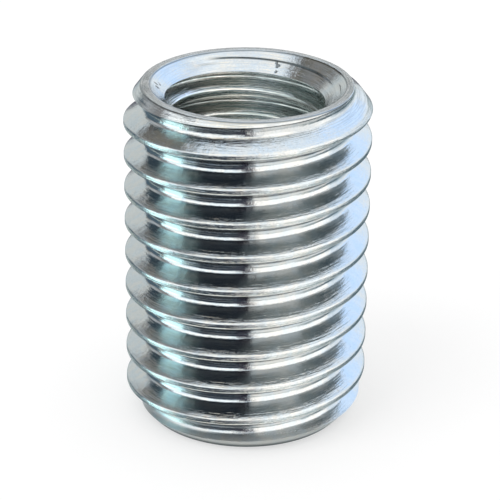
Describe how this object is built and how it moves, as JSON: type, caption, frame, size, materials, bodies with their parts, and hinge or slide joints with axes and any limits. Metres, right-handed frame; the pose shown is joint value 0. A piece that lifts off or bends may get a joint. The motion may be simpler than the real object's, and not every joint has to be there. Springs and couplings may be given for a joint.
{
  "type": "threaded insert",
  "caption": "Zinc-plated steel sleeve insert with a coarse metric thread outside, a smaller tapped through bore inside and chamfered, countersunk ends.",
  "frame": {"origin": "centre of the lower end face, on which the sleeve stands", "axes": "+Z along the thread axis towards the upper end face; the lowest thread crest passes the +X side 0.75 mm above the lower end face"},
  "size_m": [0.014, 0.014, 0.0199],
  "materials": {
    "zinc_plate": "bright bluish zinc plating with fine turning marks"
  },
  "bodies": {
    "root": {"insert_body": "zinc_plate"}
  },
  "joints": []
}
